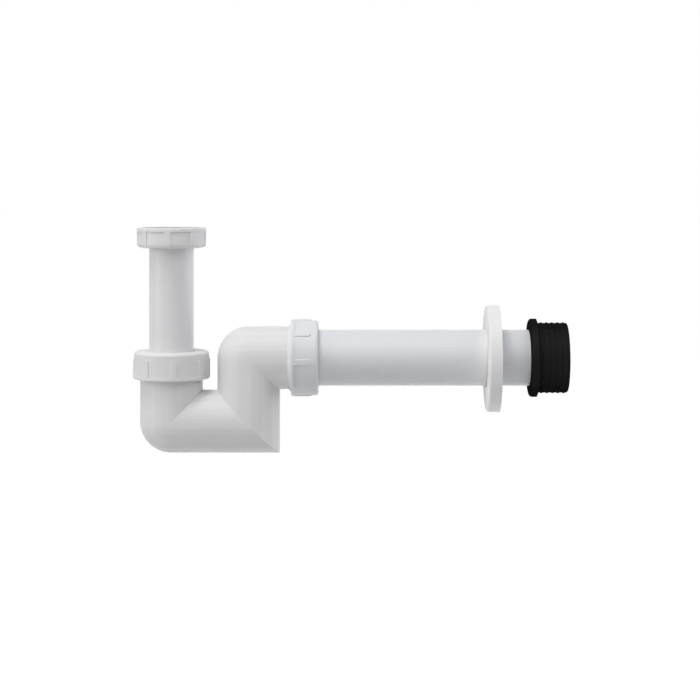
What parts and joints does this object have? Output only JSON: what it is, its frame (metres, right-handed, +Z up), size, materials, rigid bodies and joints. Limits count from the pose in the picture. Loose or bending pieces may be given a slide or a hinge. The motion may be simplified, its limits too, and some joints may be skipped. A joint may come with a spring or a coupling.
{
  "type": "bidet trap",
  "caption": "White plastic U-bend trap with an upright tailpiece, ribbed compression nuts, a level outlet pipe, a wall flange and a black ribbed rubber drain connector.",
  "frame": {"origin": "centre of the waste nut's mouth, where the bidet waste screws in", "axes": "+Z up, out of the waste nut's mouth; +X along the outlet pipe towards the wall; +Y away from someone who sees the outlet pipe run to the right"},
  "size_m": [0.3101, 0.0764, 0.1608],
  "materials": {
    "white_pp": "satin moulded polypropylene",
    "white_pp_pipe": "satin extruded polypropylene",
    "slip_ring_pe": "natural polyethylene, slightly waxy",
    "seal_rubber": "smooth moulded rubber",
    "black_rubber": "matte moulded EPDM rubber"
  },
  "bodies": {
    "tailpiece": {"tailpiece": "white_pp_pipe", "waste_gasket": "seal_rubber"},
    "waste_nut": {"waste_nut": "white_pp"},
    "inlet_seal": {"inlet_seal": "seal_rubber"},
    "trap_body": {"inlet_elbow": "white_pp", "outlet_elbow": "white_pp"},
    "inlet_slip_ring": {"inlet_slip_ring": "slip_ring_pe"},
    "inlet_nut": {"inlet_nut": "white_pp"},
    "outlet_seal": {"outlet_seal": "seal_rubber"},
    "outlet_pipe": {"outlet_pipe": "white_pp_pipe", "rubber_connector": "black_rubber"},
    "outlet_slip_ring": {"outlet_slip_ring": "slip_ring_pe"},
    "outlet_nut": {"outlet_nut": "white_pp"},
    "wall_flange": {"wall_flange": "white_pp"}
  },
  "joints": [
    {"name": "waste_nut_spin", "type": "hinge", "parent": "tailpiece", "child": "waste_nut", "pos_m": [0, 0, -0.007], "axis": [0, 0, 1], "continuous": true},
    {"name": "trap_height", "type": "slide", "parent": "tailpiece", "child": "inlet_seal", "axis": [0, 0, 1], "range_m": [-0.025, 0.008]},
    {"name": "trap_swivel", "type": "hinge", "parent": "inlet_seal", "child": "trap_body", "pos_m": [0, 0, -0.097], "axis": [0, 0, 1], "continuous": true},
    {"name": "inlet_ring_lift", "type": "slide", "parent": "trap_body", "child": "inlet_slip_ring", "axis": [0, 0, 1], "range_m": [0, 0.0139]},
    {"name": "inlet_nut_turn", "type": "hinge", "parent": "inlet_slip_ring", "child": "inlet_nut", "pos_m": [0, 0, -0.098], "axis": [0, 0, 1], "range_deg": [0, 2160]},
    {"name": "outlet_swivel", "type": "hinge", "parent": "trap_body", "child": "outlet_seal", "pos_m": [0.098, 0, -0.0931], "axis": [1, 0, 0], "continuous": true},
    {"name": "pipe_slide", "type": "slide", "parent": "outlet_seal", "child": "outlet_pipe", "axis": [1, 0, 0], "range_m": [0, 0.012]},
    {"name": "outlet_ring_lift", "type": "slide", "parent": "trap_body", "child": "outlet_slip_ring", "axis": [1, 0, 0], "range_m": [0, 0.0139]},
    {"name": "outlet_nut_turn", "type": "hinge", "parent": "outlet_slip_ring", "child": "outlet_nut", "pos_m": [0.096, 0, -0.0931], "axis": [1, 0, 0], "range_deg": [0, 2160]},
    {"name": "flange_slide", "type": "slide", "parent": "outlet_pipe", "child": "wall_flange", "axis": [1, 0, 0], "range_m": [-0.095, 0.02]}
  ],
  "couplings": [
    {"joint": "inlet_ring_lift", "follows": "inlet_nut_turn", "m_per_rad": 0.00036749},
    {"joint": "outlet_ring_lift", "follows": "outlet_nut_turn", "m_per_rad": 0.00036749}
  ]
}
